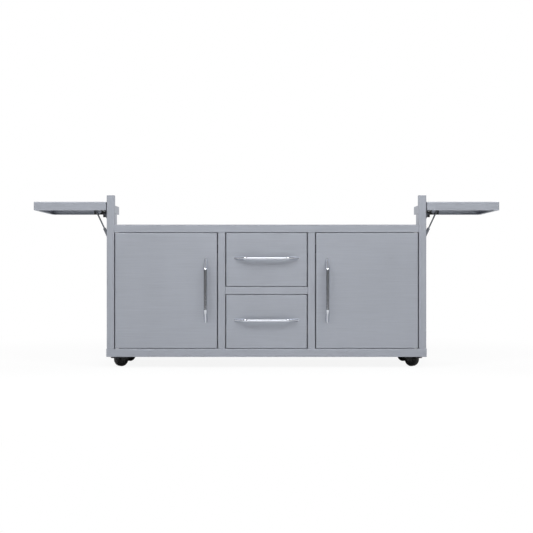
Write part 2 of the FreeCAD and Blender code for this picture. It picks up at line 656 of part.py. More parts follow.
for spot, start in (("Front", "strut_front"), ("Rear", "strut_rear")):
    low = ("-half_width + strut_in", "front_y + %s" % start, "strut_foot")
    foot = new_body("Foot" + spot, low)
    block(foot, ("foot_steel", "foot_long", "foot_high"),
          ("side_recess - strut_in - foot_steel", "-foot_long / 3", "-foot_high / 2"))
    block(foot, ("side_recess - strut_in + 6", "4", "15"), ("-6", "4.3", "-10"))
    rod(foot, "strut_pin", "10", ("0", "-4.5", "0"), axis="Y")
    feet.append(foot)
    shell = new_body("Shell" + spot, low)
    shell.Placement = FreeCAD.Placement(shell.Placement.Base, tilted)
    rod(shell, "strut_tube", "strut_shell - 11", ("0", "0", "11"))
    rod(shell, "7", "8", ("0", "-4", "0"), axis="Y")
    block(shell, ("10", "8", "12"), ("-5", "-4", "2"))
    rod(shell, "strut_pin + running_play", "20", ("0", "-10", "0"), axis="Y", cut=True)
    rod(shell, "strut_rod + running_play", "strut_shell", ("0", "0", "16"), cut=True)
    shells.append(shell)
    plunger = new_body("Plunger" + spot, low)
    plunger.Placement = FreeCAD.Placement(plunger.Placement.Base, tilted)
    rod(plunger, "strut_rod", "%s - strut_shell + 13" % reach_text, ("0", "0", "strut_shell - 16"))
    rod(plunger, "6", "10", ("0", "-5", reach_text), axis="Y")
    rod(plunger, "strut_pin", "12.5", ("0", "-2", reach_text), axis="Y")
    rods.append(plunger)
    hanger = new_body("Hanger" + spot, ("-half_width - strut_out", "front_y + %s" % start, "strut_top"))
    top = "shelf_bottom + shelf_thick - sheet - strut_top"
    block(hanger, ("slot_run + 30", "foot_steel", "%s + 15" % top), ("-14", "5.4", "-15"))
    block(hanger, ("slot_run + 30", "22", "2"), ("-14", "5.4", "%s - 2" % top))
    slot = plane_sketch(hanger, "XZ_Plane")
    outline(slot, [("-1.2", "strut_pin + running_play"), ("0.29 * slot_run", "strut_pin + 4.2"),
                   ("0.62 * slot_run", "strut_pin + 5.2"), ("0.89 * slot_run", "strut_pin + 3.8"),
                   ("slot_run + strut_pin", "1.2"), ("slot_run + strut_pin", "-strut_pin"),
                   ("0.94 * slot_run", "-strut_pin - 4.4"), ("0.83 * slot_run", "-strut_pin - 6.2"),
                   ("0.6 * slot_run", "-strut_pin - 6.8"), ("0.29 * slot_run", "-strut_pin - 5.2"),
                   ("-1.2", "-strut_pin - running_play")])
    pocket(hanger, slot)
    rod(hanger, "strut_pin + running_play + 0.1", "10", ("0", "2", "0"), axis="Y", cut=True)
    brackets.append(hanger)

twins = [mirrored(item, item.Label + "Right") for item in fixed_leaves]
nodes.append(group("shelf_fixed_leaves", fixed_leaves + twins))
twins = [mirrored(item, item.Label + "Right") for item in feet]
nodes.append(group("strut_feet", feet + twins))
shelf_pieces = [
    tray,
    group("left_shelf_leaves", moving_leaves),
    group("left_shelf_hangers", brackets),
    group("left_strut_tubes", shells),
    group("left_strut_rods", rods),
]
for item in shelf_pieces:
    nodes.append(item)
    nodes.append(mirrored(item, item.Label.replace("left_", "right_")))

# Casters


PEDAL = ((4.3, 58), (7.6, 59), (9.2, 53), (7.6, 21.5), (20.6, 11.5), (20.1, 8),
         (4, 10), (1, 18.5), (1, 35), (1, 51.5))


def round_wheel(outwards, angle):
    """A place beside the wheel, given by its distance from the tread and its angle above the axle."""
    far = "(wheel_radius + %s)" % outwards
    return ("-trail - %s * cos(%s)" % (far, angle), "wheel_radius + %s * sin(%s)" % (far, angle))


def caster(name, depth_y, turn, braked):
    """Fork, wheel and brake of one caster on the left side, turned about its kingpin."""
    swivel = FreeCAD.Rotation(FreeCAD.Vector(0, 0, 1), size(turn))

    def turned(label):
        body = new_body(label, ("-caster_x", depth_y, "0"))
        body.Placement = FreeCAD.Placement(body.Placement.Base, swivel)
        return body

    fork = turned(name + "_fork")
    crown_top = "base_top - swivel_high"
    rod(fork, "crown", "crown_steel", ("0", "0", crown_top + " - crown_steel"))
    rod(fork, "race", "swivel_high - plate_steel - running_play", ("0", "0", crown_top))
    rod(fork, "kingpin", "swivel_high + 1 - 2 * running_play", ("0", "0", crown_top + " - 1"))
    for side in ("-leg_gap - fork_steel", "leg_gap"):
        leg = plane_sketch(fork, "XZ_Plane")
        bind(leg, "AttachmentOffset.Base.z", "-(%s) - fork_steel" % side)
        corners = [("crown - 2", crown_top), ("crown - 2", crown_top + " - 7"),
                   ("-trail + 12", "wheel_radius - 10"), ("-trail - 12", "wheel_radius - 10"),
                   ("-trail - 12", "wheel_radius + 14")]
        if braked:
            corners += [("-pedal_x - 4", "pedal_z - 5"), ("-pedal_x", "pedal_z + 4")]
        corners += [("-crown - 2", crown_top)]
        outline(leg, corners)
        pad(fork, leg, "fork_steel", back=False)
    bridge_at = ("2 - crown", "-leg_gap - 1", crown_top + " - crown_steel")
    block(fork, ("2 * crown - 4", "2 * leg_gap + 2", "crown_steel"), bridge_at)
    axle_at = ("-trail", "-leg_gap - 2 * fork_steel", "wheel_radius")
    rod(fork, "axle", "2 * leg_gap + 4 * fork_steel", axle_at, axis="Y")
    if braked:
        rod(fork, "pedal_pin", "2 * leg_gap + 4", ("-pedal_x", "-leg_gap - 2", "pedal_z"), axis="Y")
    wheel = turned(name + "_wheel")
    rod(wheel, "wheel_radius", "wheel_width", ("-trail", "-wheel_width / 2", "wheel_radius"), axis="Y")
    soften(wheel, "5", lambda edge: edge.Curve.TypeId == "Part::GeomCircle")
    for face in ("-wheel_width / 2 - 1", "wheel_width / 2 - 4"):
        rod(wheel, "wheel_radius - tread", "5", ("-trail", face, "wheel_radius"), axis="Y", cut=True)
    rod(wheel, "hub", "wheel_width + 3", ("-trail", "-wheel_width / 2 - 1.5", "wheel_radius"), axis="Y")
    bore_at = ("-trail", "-wheel_width", "wheel_radius")
    rod(wheel, "axle + running_play", "2 * wheel_width", bore_at, axis="Y", cut=True)
    pieces = [fork, wheel]
    if braked:
        pedal = turned(name + "_pedal")
        lever = plane_sketch(pedal, "XZ_Plane")
        bind(lever, "AttachmentOffset.Base.z", "-pedal_wide / 2")
        outline(lever, [round_wheel(outwards, angle) for outwards, angle in PEDAL])
        pad(pedal, lever, "pedal_wide", back=False)
        bore_at = ("-pedal_x", "-pedal_wide", "pedal_z")
        rod(pedal, "pedal_pin + running_play", "2 * pedal_wide", bore_at, axis="Y", cut=True)
        pieces.append(pedal)
    return pieces


plates = []
for place, depth_y, braked in (("front", "front_y + caster_y", True), ("rear", "rear_y - caster_y", False)):
    plate = new_body(place + "CasterPlate", ("-caster_x", depth_y, "base_top - plate_steel"))
    block(plate, ("plate_long", "plate_wide", "plate_steel"), ("-plate_long / 2", "-plate_wide / 2", "0"))
    soften(plate, "6", along("z"))
    rod(plate, "kingpin + running_play", "10", ("0", "0", "-3"), cut=True)
    plates += [plate, mirrored(plate, place + "CasterPlateRight")]
    for item in caster("left_%s_caster" % place, depth_y, place + "_turn", braked):
        nodes.append(item)
        nodes.append(mirrored(item, item.Label.replace("left_", "right_")))
nodes.append(group("caster_plates", plates))

# Write the pieces

workings.clear("A1")
doc.recompute()
for item in doc.Objects:
    if "Invalid" in item.State or "Error" in item.State:
        raise RuntimeError("%s did not build: %s" % (item.Label, item.State))
os.makedirs("parts", exist_ok=True)
for node in nodes:
    shape = node.Shape
    if shape.isNull() or not shape.isValid():
        raise RuntimeError("%s has no valid shape" % node.Label)
    shape.exportStep("parts/%s.step" % node.Label)
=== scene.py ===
"""Finishes, fasteners and fittings of a griddle cart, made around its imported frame."""
import json
import logging
import math
from dataclasses import dataclass
from enum import Enum
from typing import Dict, List, Mapping, Optional, Sequence, Tuple, Union

import bmesh
import bpy
from mathutils import Matrix, Vector


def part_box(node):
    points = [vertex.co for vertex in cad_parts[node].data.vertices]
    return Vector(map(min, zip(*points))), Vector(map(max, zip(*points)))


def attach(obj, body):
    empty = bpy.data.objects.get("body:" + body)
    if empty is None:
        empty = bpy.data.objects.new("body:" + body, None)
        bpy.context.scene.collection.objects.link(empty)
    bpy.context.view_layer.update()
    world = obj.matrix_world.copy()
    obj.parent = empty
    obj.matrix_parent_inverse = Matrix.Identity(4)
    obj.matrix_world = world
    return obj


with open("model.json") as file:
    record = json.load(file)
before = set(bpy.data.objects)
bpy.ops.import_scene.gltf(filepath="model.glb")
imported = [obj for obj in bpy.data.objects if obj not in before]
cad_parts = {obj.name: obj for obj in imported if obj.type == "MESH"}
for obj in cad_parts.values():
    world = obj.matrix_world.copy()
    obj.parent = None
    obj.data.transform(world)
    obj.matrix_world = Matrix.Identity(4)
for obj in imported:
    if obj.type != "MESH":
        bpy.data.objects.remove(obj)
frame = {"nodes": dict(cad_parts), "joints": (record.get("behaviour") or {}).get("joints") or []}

LOG = logging.getLogger("griddle_cart")
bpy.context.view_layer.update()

Colour = Tuple[float, float, float]
Point = Tuple[float, float, float]
Key = Union[str, int]
Span = Tuple[float, float]
Spot = Tuple[Vector, Vector]
MM = 0.001
HALF = 0.5
INWARD = Vector((0.0, 1.0, 0.0))
DOWN = Vector((0.0, 0.0, -1.0))


class Wire:
    """One output of a node, on which sums are written as Python expressions."""

    def __init__(self, book: "NodeBook", socket: bpy.types.NodeSocket) -> None:
        """Keep the output and the tree that it belongs to."""
        self.book = book
        self.socket = socket

    def sum(self, operation: str, first: object, second: object) -> "Wire":
        """Add one Math node.

        Args:
            operation: the name of the sum.
            first: its first number or output.
            second: its second number or output.

        Returns:
            The result.
        """
        return self.book.add("ShaderNodeMath", {"operation": operation}, {0: first, 1: second})

    def __add__(self, other: object) -> "Wire":
        """This plus other."""
        return self.sum("ADD", self, other)

    __radd__ = __add__

    def __sub__(self, other: object) -> "Wire":
        """This less other."""
        return self.sum("SUBTRACT", self, other)

    def __rsub__(self, other: object) -> "Wire":
        """Other less this."""
        return self.sum("SUBTRACT", other, self)

    def __mul__(self, other: object) -> "Wire":
        """This times other."""
        return self.sum("MULTIPLY", self, other)

    __rmul__ = __mul__

    def __or__(self, other: object) -> "Wire":
        """The larger of this and other."""
        return self.sum("MAXIMUM", self, other)


class NodeBook:
    """A node tree that is written one node at a time."""

    def __init__(self, tree: bpy.types.NodeTree) -> None:
        """Start from an empty tree."""
        self.tree = tree
        tree.nodes.clear()

    def add(self, kind: str, settings: Optional[Mapping[str, object]] = None,
            inputs: Optional[Mapping[Key, object]] = None, output: Key = 0) -> Wire:
        """Add a node.

        Args:
            kind: the node's type.
            settings: its own properties, or the stops of a ramp.
            inputs: a value or an output for each socket that is set.
            output: the output that is handed back.

        Returns:
            That output.
        """
        node = self.tree.nodes.new(kind)
        for name, value in (settings or {}).items():
            if name == "stops":
                self.set_stops(node.color_ramp, value)
            else:
                setattr(node, name, value)
        for key, value in (inputs or {}).items():
            if isinstance(value, Wire):
                self.tree.links.new(value.socket, node.inputs[key])
            else:
                node.inputs[key].default_value = value
        return Wire(self, node.outputs[output] if len(node.outputs) else None)

    @staticmethod
    def set_stops(ramp: bpy.types.ColorRamp, stops: Sequence[Tuple[float, Colour]]) -> None:
        """Give a ramp its stops.

        Args:
            ramp: the ramp.
            stops: place and colour of each stop, from left to right.
        """
        while len(ramp.elements) < len(stops):
            ramp.elements.new(1.0)
        for element, (place, colour) in zip(ramp.elements, stops):
            element.position = place
            element.color = (*colour, 1.0)

    def places(self, scale: Point) -> Wire:
        """The piece's own coordinates in metres, stretched.

        Args:
            scale: the stretch along X, Y and Z.

        Returns:
            The stretched coordinates.
        """
        at = self.add("ShaderNodeTexCoord", output="Object")
        return self.add("ShaderNodeMapping", inputs={"Vector": at, "Scale": scale})

    def noise(self, scale: Point, detail: float = 2.0, rough: float = 0.5) -> Wire:
        """Noise about one half, on the piece's own coordinates.

        Args:
            scale: waves to a metre along X, Y and Z.
            detail: octaves of finer noise.
            rough: weight of the finer octaves.

        Returns:
            The noise.
        """
        where = self.places(scale)
        return self.add("ShaderNodeTexNoise", {"noise_dimensions": "3D"},
                        {"Vector": where, "Scale": 1.0, "Detail": detail, "Roughness": rough})

    def relief(self, height: Wire, strength: float, distance: float) -> Wire:
        """Shallow bumps on a surface.

        Args:
            height: how far each place stands out, from nought to one.
            strength: weight of the bumps.
            distance: height of the bumps in metres.

        Returns:
            The bumped normal.
        """
        return self.add("ShaderNodeBump", inputs={
            "Strength": strength, "Distance": distance, "Height": height})

    def blend(self, share: object, first: object, second: object) -> Wire:
        """Mix two colours.

        Args:
            share: how much of the second.
            first: colour or output.
            second: colour or output.

        Returns:
            The mixed colour.
        """
        def shade(value: object) -> object:
            """A plain colour as the socket takes it."""
            return value if isinstance(value, Wire) else (*value, 1.0)
        return self.add("ShaderNodeMix", {"data_type": "RGBA"},
                        {0: share, 6: shade(first), 7: shade(second)}, output=2)


def toned(colour: Colour, factor: float) -> Colour:
    """A colour made lighter or darker.

    Args:
        colour: the colour.
        factor: its multiplier.

    Returns:
        The new colour.
    """
    return tuple(channel * factor for channel in colour)


class Grain(Enum):
    """The way that a brushed surface's lines run."""

    ALONG_X = (1, 0, 0)
    ALONG_Y = (0, 1, 0)
    ALONG_Z = (0, 0, 1)

    def scale(self, along: float, across: float) -> Point:
        """Waves to a metre along and across the lines, on each axis."""
        return tuple(along if axis else across for axis in self.value)


# Materials made so far, by finish, so that one of the frame's own is never taken for them.
MADE: Dict[str, bpy.types.Material] = {}


@dataclass(frozen=True)
class Finish:
    """What every finish has: a name, the record's slot and its colour."""

    name: str
    slot: str
    colour: Colour

    def material(self) -> bpy.types.Material:
        """Make the material of this finish the first time it is asked for.

        Returns:
            The material.
        """
        if self.name not in MADE:
            made = bpy.data.materials.new(self.name)
            made.use_nodes = True
            book = NodeBook(made.node_tree)
            surface = self.surface(book)
            book.add("ShaderNodeOutputMaterial", inputs={"Surface": surface})
            MADE[self.name] = made
        return MADE[self.name]

    def surface(self, book: NodeBook) -> Wire:
        """Write the nodes of the surface.

        Args:
            book: the material's tree.

        Returns:
            The shader.
        """
        raise NotImplementedError

    def shader(self, book: NodeBook, **sockets: object) -> Wire:
        """The surface shader with its sockets set.

        Args:
            book: the material's tree.
            sockets: values and outputs, with words joined by an underscore.

        Returns:
            The shader.
        """
        named = {key.replace("_", " "): value for key, value in sockets.items()}
        return book.add("ShaderNodeBsdfPrincipled", inputs=named)


@dataclass(frozen=True)
class BrushedSteel(Finish):
    """Satin stainless sheet or tube, brushed one way."""

    grain: Grain
    roughness: float = 0.52
    streak: float = 0.075
    line_waves: Span = (6.0, 700.0)
    band_waves: Span = (1.6, 90.0)
    cloud_waves: Point = (2.1, 2.1, 2.1)
    wipe_waves: Point = (9.0, 9.0, 5.0)
    line_tone: float = 2.2
    band_tone: float = 0.3
    cloud_tone: float = 0.5
    line_rough: float = 0.16
    wipe_rough: float = 0.12

    def surface(self, book: NodeBook) -> Wire:
        """Long fine lines, a faint cloudiness and wiped patches.

        Args:
            book: the material's tree.

        Returns:
            The shader.
        """
        fine = book.noise(self.grain.scale(*self.line_waves), detail=2.0, rough=0.6)
        broad = book.noise(self.grain.scale(*self.band_waves), detail=3.0, rough=0.55)
        cloud = book.noise(self.cloud_waves, detail=3.0, rough=0.5)
        wiped = book.noise(self.wipe_waves, detail=4.0, rough=0.6)
        tone = ((fine - HALF) * self.line_tone + (broad - HALF) * self.band_tone
                + (cloud - HALF) * self.cloud_tone + HALF)
        low = toned(self.colour, 1.0 - self.streak)
        high = toned(self.colour, 1.0 + self.streak)
        rough = (fine - HALF) * self.line_rough + (wiped - HALF) * self.wipe_rough + self.roughness
        bump = book.relief(fine, strength=0.12, distance=0.0003)
        return self.shader(book, Base_Color=book.blend(tone, low, high), Metallic=1.0,
                           Roughness=rough, Normal=bump)


@dataclass(frozen=True)
class PolishedSteel(Finish):
    """Bright round bar with the last traces of the buff."""

    roughness: float = 0.12
    haze_waves: Point = (60.0, 60.0, 60.0)
    line_waves: Point = (700.0, 40.0, 700.0)
    haze_rough: float = 0.10
    line_rough: float = 0.05
    tones: Span = (0.95, 1.03)

    def surface(self, book: NodeBook) -> Wire:
        """Buffing haze and a few fine lines.

        Args:
            book: the material's tree.

        Returns:
            The shader.
        """
        haze = book.noise(self.haze_waves, detail=3.0, rough=0.6)
        lines = book.noise(self.line_waves, detail=2.0, rough=0.5)
        rough = (haze - HALF) * self.haze_rough + (lines - HALF) * self.line_rough + self.roughness
        shade = book.blend(haze, *(toned(self.colour, tone) for tone in self.tones))
        bump = book.relief(lines, strength=0.04, distance=0.0002)
        return self.shader(book, Base_Color=shade, Metallic=1.0, Roughness=rough, Normal=bump)


@dataclass(frozen=True)
class ZincPlate(Finish):
    """Bright zinc with its small crystals."""

    roughness: float = 0.36
    crystal_waves: Point = (140.0, 140.0, 140.0)
    dull_waves: Point = (45.0, 45.0, 45.0)
    crystal_rough: float = 0.10
    dull_rough: float = 0.20
    tones: Span = (0.90, 1.08)

    def surface(self, book: NodeBook) -> Wire:
        """Crystal patches, each a little lighter or darker, and dull spots.

        Args:
            book: the material's tree.

        Returns:
            The shader.
        """
        where = book.places(self.crystal_waves)
        cells = book.add("ShaderNodeTexVoronoi", inputs={"Vector": where, "Scale": 1.0}, output="Color")
        patch = book.add("ShaderNodeSeparateColor", inputs={0: cells})
        dull = book.noise(self.dull_waves, detail=3.0, rough=0.6)
        rough = (patch - HALF) * self.crystal_rough + (dull - HALF) * self.dull_rough + self.roughness
        shade = book.blend(patch, *(toned(self.colour, tone) for tone in self.tones))
        bump = book.relief(dull, strength=0.08, distance=0.0002)
        return self.shader(book, Base_Color=shade, Metallic=1.0, Roughness=rough, Normal=bump)


@dataclass(frozen=True)
class PowderCoat(Finish):
    """Baked powder on steel, with its orange peel."""

    roughness: float
    dust: float
    dust_colour: Colour = (0.20, 0.20, 0.21)
    peel_waves: Point = (520.0, 520.0, 520.0)
    rub_waves: Point = (38.0, 38.0, 38.0)
    rub_rough: float = 0.24
    peel_rough: float = 0.08

    def surface(self, book: NodeBook) -> Wire:
        """Orange peel, a little dust and rubbed places.

        Args:
            book: the material's tree.

        Returns:
            The shader.
        """
        peel = book.noise(self.peel_waves, detail=2.0, rough=0.5)
        rubbed = book.noise(self.rub_waves, detail=4.0, rough=0.62)
        shade = book.blend(rubbed * (self.dust / HALF), self.colour, self.dust_colour)
        rough = (rubbed - HALF) * self.rub_rough + (peel - HALF) * self.peel_rough + self.roughness
        bump = book.relief(peel, strength=0.25, distance=0.0004)
        return self.shader(book, Base_Color=shade, Roughness=rough, Normal=bump)


@dataclass(frozen=True)
class MouldedRubber(Finish):
    """Black tyre rubber, scuffed by the floor."""

    roughness: float = 0.66
    scuff_colour: Colour = (0.075, 0.072, 0.068)
    scuff_share: float = 0.22
    scuff_from: float = 0.52
    scuff_full: float = 0.74
    scuff_waves: Point = (70.0, 240.0, 70.0)
    pore_waves: Point = (900.0, 900.0, 900.0)
    scuff_rough: float = 0.25
    scuff_height: float = 0.6

    def surface(self, book: NodeBook) -> Wire:
        """Grey scuffs over black, with a fine open grain.

        Args:
            book: the material's tree.

        Returns:
            The shader.
        """
        scuff = book.noise(self.scuff_waves, detail=4.0, rough=0.65)
        pores = book.noise(self.pore_waves, detail=1.0, rough=0.5)
        stops = [(self.scuff_from, (0.0, 0.0, 0.0)), (self.scuff_full, (1.0, 1.0, 1.0))]
        worn = book.add("ShaderNodeValToRGB", {"stops": stops}, {0: scuff})
        shade = book.blend(worn * self.scuff_share, self.colour, self.scuff_colour)
        rough = (scuff - HALF) * self.scuff_rough + self.roughness
        height = scuff * self.scuff_height + pores * (1.0 - self.scuff_height)
        bump = book.relief(height, strength=0.3, distance=0.0005)
        return self.shader(book, Base_Color=shade, Roughness=rough, Normal=bump)


@dataclass(frozen=True)
class MouldedPlastic(Finish):
    """Injection-moulded plastic with a spark-eroded texture."""

    roughness: float = 0.5
    pebble_waves: Point = (1400.0, 1400.0, 1400.0)
    flow_waves: Point = (30.0, 30.0, 90.0)
    pebble_rough: float = 0.15
    flow_rough: float = 0.1
    tones: Span = (0.85, 1.18)

    def surface(self, book: NodeBook) -> Wire:
        """A pebbled skin and faint flow marks.

        Args:
            book: the material's tree.

        Returns:
            The shader.
        """
        pebble = book.noise(self.pebble_waves, detail=1.0, rough=0.5)
        flow = book.noise(self.flow_waves, detail=3.0, rough=0.6)
        shade = book.blend(flow, *(toned(self.colour, tone) for tone in self.tones))
        rough = (pebble - HALF) * self.pebble_rough + (flow - HALF) * self.flow_rough + self.roughness
        bump = book.relief(pebble, strength=0.3, distance=0.0002)
        return self.shader(book, Base_Color=shade, Roughness=rough, Normal=bump)


STEEL: Colour = (0.388, 0.408, 0.454)
STEEL_X = BrushedSteel("satin_steel_across", "satin_steel", STEEL, Grain.ALONG_X)
STEEL_Y = BrushedSteel("satin_steel_deep", "satin_steel", STEEL, Grain.ALONG_Y)
STEEL_Z = BrushedSteel("satin_steel_upright", "satin_steel", STEEL, Grain.ALONG_Z)
BRIGHT = PolishedSteel("polished_bar", "bright_steel", (0.58, 0.60, 0.645))
ZINC = ZincPlate("zinc_plate", "zinc_steel", (0.50, 0.51, 0.52))
ENAMEL = PowderCoat("grey_enamel", "dark_steel", (0.12, 0.13, 0.15), 0.34, 0.04)
# Near-black powder coat. On the shelf hinge pieces its darkness is partly painted shade, for the shade
# under the shelves' inner ends.
BLACK = PowderCoat("black_powder", "black_steel", (0.010, 0.010, 0.011), 0.44, 0.02)
RUBBER = MouldedRubber("tyre_rubber", "black_rubber", (0.009, 0.009, 0.009))
PLASTIC = MouldedPlastic("hub_plastic", "dark_plastic", (0.022, 0.022, 0.024))
NYLON = MouldedPlastic("bush_nylon", "pale_nylon", (0.70, 0.70, 0.68))
RIB = MouldedPlastic("wheel_plastic", "dark_plastic", (0.014, 0.014, 0.015))
WELD = ZincPlate("weld_steel", "satin_steel", (0.36, 0.355, 0.36), 0.42)


def dress(node: str, finish: Finish) -> None:
    """Give a frame piece its finish.

    Args:
        node: the piece.
        finish: what it is made of.
    """
    piece = frame["nodes"][node]
    piece.data.materials.clear()
    piece.data.materials.append(finish.material())
    LOG.info("%s: %s", node, finish.name)


@dataclass(frozen=True)
class Head:
    """The shown end of a fastener, as rings from its middle out to its seat."""

    name: str
    finish: Finish
    rings: Tuple[Tuple[float, float, bool], ...]
    sides: int = 12
    least: float = 1.0

    def ring(self, radius: float, height: float, hexed: bool) -> List[Point]:
        """The corners of one ring.

        Args:
            radius: of the circle, or of the hexagon's corners, in millimetres.
            height: above the seat, in millimetres.
            hexed: whether the ring is a hexagon.

        Returns:
            The corners, in metres.
        """
        if radius == 0.0:
            return [(0.0, 0.0, height * MM)]
        corners = []
        for step in range(self.sides):
            angle = 2.0 * math.pi * step / self.sides
            part = (angle + math.pi / 6.0) % (math.pi / 3.0) - math.pi / 6.0
            reach = radius * math.cos(math.pi / 6.0) / math.cos(part) if hexed else radius
            corners.append((reach * math.cos(angle) * MM, reach * math.sin(angle) * MM, height * MM))
        return corners

    def shape(self) -> bpy.types.Object:
        """A closed mesh of the head, in an object that is linked until it has been placed.

        Returns:
            The object.
        """
        points: List[Point] = []
        starts: List[Tuple[int, int]] = []
        for radius, height, hexed in self.rings:
            corners = self.ring(radius, height, hexed)
            starts.append((len(points), len(corners)))
            points += corners
        faces: List[Tuple[int, ...]] = []
        for (inner, few), (outer, many) in zip(starts, starts[1:]):
            for step in range(many):
                after = (step + 1) % many
                if few == 1:
                    faces.append((inner, outer + step, outer + after))
                else:
                    faces.append((inner + step, outer + step, outer + after, inner + after))
        last, count = starts[-1]
        faces.append(tuple(last + step for step in reversed(range(count))))
        mesh = bpy.data.meshes.new(self.name)
        mesh.from_pydata(points, [], faces)
        made = bpy.data.objects.new(self.name, mesh)
        bpy.context.scene.collection.objects.link(made)
        return made


PAN_HEAD = Head("pan_head", ZINC, ((0.0, 0.9, False), (1.5, 0.9, True), (1.5, 2.3, True), (2.4, 2.2, False),
                                   (3.3, 1.5, False), (3.6, 0.7, False), (3.6, 0.0, False)))
HEX_HEAD = Head("hex_head", ZINC, ((0.0, 5.6, False), (4.6, 5.6, False), (5.7, 5.0, True), (5.7, 1.5, True),
                                   (8.0, 1.5, False), (8.2, 1.2, False), (8.2, 0.0, False)))
LOCK_NUT = Head("lock_nut", BLACK, ((0.0, 7.6, False), (2.9, 7.6, False), (3.7, 6.8, False),
                                    (3.8, 5.8, False), (4.9, 5.8, False), (5.4, 4.9, False),
                                    (6.3, 4.6, True), (7.2, 4.0, True), (7.2, 0.0, True)))
PIN_HEAD = Head("pin_head", BLACK, ((0.0, 3.4, False), (2.6, 3.4, False), (3.2, 3.9, False),
                                    (5.6, 3.2, False), (7.4, 1.6, False), (7.8, 0.0, False)))
RIPPLE = Head("weld_ripple", WELD, ((0.0, 1.1, False), (1.1, 0.95, False), (1.9, 0.45, False),
                                    (2.2, -0.4, False)), 8, 0.82)


class FastenerTree:
    """Geometry nodes that set one head on every point, facing the way that the point says."""

    INPUTS = (("Head", "NodeSocketObject"), ("Least size", "NodeSocketFloat"), ("Seed", "NodeSocketInt"),
              ("Finish", "NodeSocketMaterial"))

    def __init__(self) -> None:
        """Write the tree."""
        self.tree = bpy.data.node_groups.new("fasteners", "GeometryNodeTree")
        self.keys: Dict[str, str] = {}
        sides = self.tree.interface
        sides.new_socket("Geometry", in_out="INPUT", socket_type="NodeSocketGeometry")
        sides.new_socket("Geometry", in_out="OUTPUT", socket_type="NodeSocketGeometry")
        for name, kind in self.INPUTS:
            self.keys[name] = sides.new_socket(name, in_out="INPUT", socket_type=kind).identifier
        book = NodeBook(self.tree)
        given = {name: book.add("NodeGroupInput", output=name) for name in ("Geometry", *self.keys)}
        facing = book.add("GeometryNodeInputNamedAttribute", {"data_type": "FLOAT_VECTOR"},
                          {"Name": "facing"})
        aimed = book.add("FunctionNodeAlignRotationToVector", {"axis": "Z"}, {"Vector": facing})
        angle = book.add("FunctionNodeRandomValue", {"data_type": "FLOAT"},
                         {2: 0.0, 3: 2.0 * math.pi, "Seed": given["Seed"]}, output=1)
        turn = book.add("FunctionNodeAxisAngleToRotation", inputs={"Axis": (0.0, 0.0, 1.0), "Angle": angle})
        turned = book.add("FunctionNodeRotateRotation", {"rotation_space": "LOCAL"},
                          {"Rotation": aimed, "Rotate By": turn})
        large = book.add("FunctionNodeRandomValue", {"data_type": "FLOAT"},
                         {2: given["Least size"], 3: 1.0, "Seed": given["Seed"]}, output=1)
        shape = book.add("GeometryNodeObjectInfo", inputs={"Object": given["Head"]}, output="Geometry")
        placed = book.add("GeometryNodeInstanceOnPoints", inputs={
            "Points": given["Geometry"], "Instance": shape, "Rotation": turned, "Scale": large})
        plain = book.add("GeometryNodeRealizeInstances", inputs={"Geometry": placed})
        finished = book.add("GeometryNodeSetMaterial", inputs={
            "Geometry": plain, "Material": given["Finish"]})
        book.add("NodeGroupOutput", inputs={"Geometry": finished})

    def fix(self, name: str, body: str, head: Head, spots: Sequence[Spot], seed: int = 7) -> None:
        """Set a row of heads on one body.

        Args:
            name: of the new piece.
            body: that it moves with.
            head: the kind of fastener.
            spots: the seat of each head and the way that it faces.
            seed: of the random turns and sizes.
        """
        mesh = bpy.data.meshes.new(name + "_seats")
        mesh.from_pydata([tuple(seat) for seat, _ in spots], [], [])
        facing = mesh.attributes.new("facing", "FLOAT_VECTOR", "POINT")
        facing.data.foreach_set("vector", [part for _, way in spots for part in way.normalized()])
        shape = head.shape()
        values = {"Head": shape, "Least size": head.least, "Seed": seed, "Finish": head.finish.material()}
        plain = grown(name, mesh, self.tree, {self.keys[key]: value for key, value in values.items()})
        bpy.data.objects.remove(shape)
        settle(name, plain, body, head.finish)


class RibTree:
    """Geometry nodes that repeat a rib round a hub."""

    INPUTS = (("Count", "NodeSocketInt", 8), ("Middle radius", "NodeSocketFloat", 0.0192),
              ("Size", "NodeSocketVector", (0.0150, 0.0026, 0.0060)))

    def __init__(self) -> None:
        """Write the tree."""
        self.tree = bpy.data.node_groups.new("wheel_ribs", "GeometryNodeTree")
        self.values: Dict[str, object] = {}
        self.keys: Dict[str, str] = {}
        sides = self.tree.interface
        sides.new_socket("Geometry", in_out="OUTPUT", socket_type="NodeSocketGeometry")
        for name, kind, value in (*self.INPUTS, ("Finish", "NodeSocketMaterial", None)):
            self.keys[name] = sides.new_socket(name, in_out="INPUT", socket_type=kind).identifier
            self.values[name] = value
        book = NodeBook(self.tree)
        given = {name: book.add("NodeGroupInput", output=name) for name in self.keys}
        ring = book.add("GeometryNodeMeshCircle", inputs={
            "Vertices": given["Count"], "Radius": given["Middle radius"]})
        rib = book.add("GeometryNodeMeshCube", inputs={"Size": given["Size"]})
        step = book.add("GeometryNodeInputIndex")
        angle = step.sum("DIVIDE", step * (2.0 * math.pi), given["Count"])
        euler = book.add("ShaderNodeCombineXYZ", inputs={"Z": angle})
        turn = book.add("FunctionNodeEulerToRotation", inputs={"Euler": euler})
        placed = book.add("GeometryNodeInstanceOnPoints", inputs={
            "Points": ring, "Instance": rib, "Rotation": turn})
        plain = book.add("GeometryNodeRealizeInstances", inputs={"Geometry": placed})
        finished = book.add("GeometryNodeSetMaterial", inputs={
            "Geometry": plain, "Material": given["Finish"]})
        book.add("NodeGroupOutput", inputs={"Geometry": finished})

    def wheel_face(self, name: str, finish: Finish) -> bpy.types.Mesh:
        """The ribs of one face of a wheel, about the Z axis.

        Args:
            name: of the mesh.
            finish: what they are moulded in.

        Returns:
            The plain mesh.
        """
        values = dict(self.values, Finish=finish.material())
        empty = bpy.data.meshes.new(name + "_start")
        return grown(name, empty, self.tree, {self.keys[key]: value for key, value in values.items()})


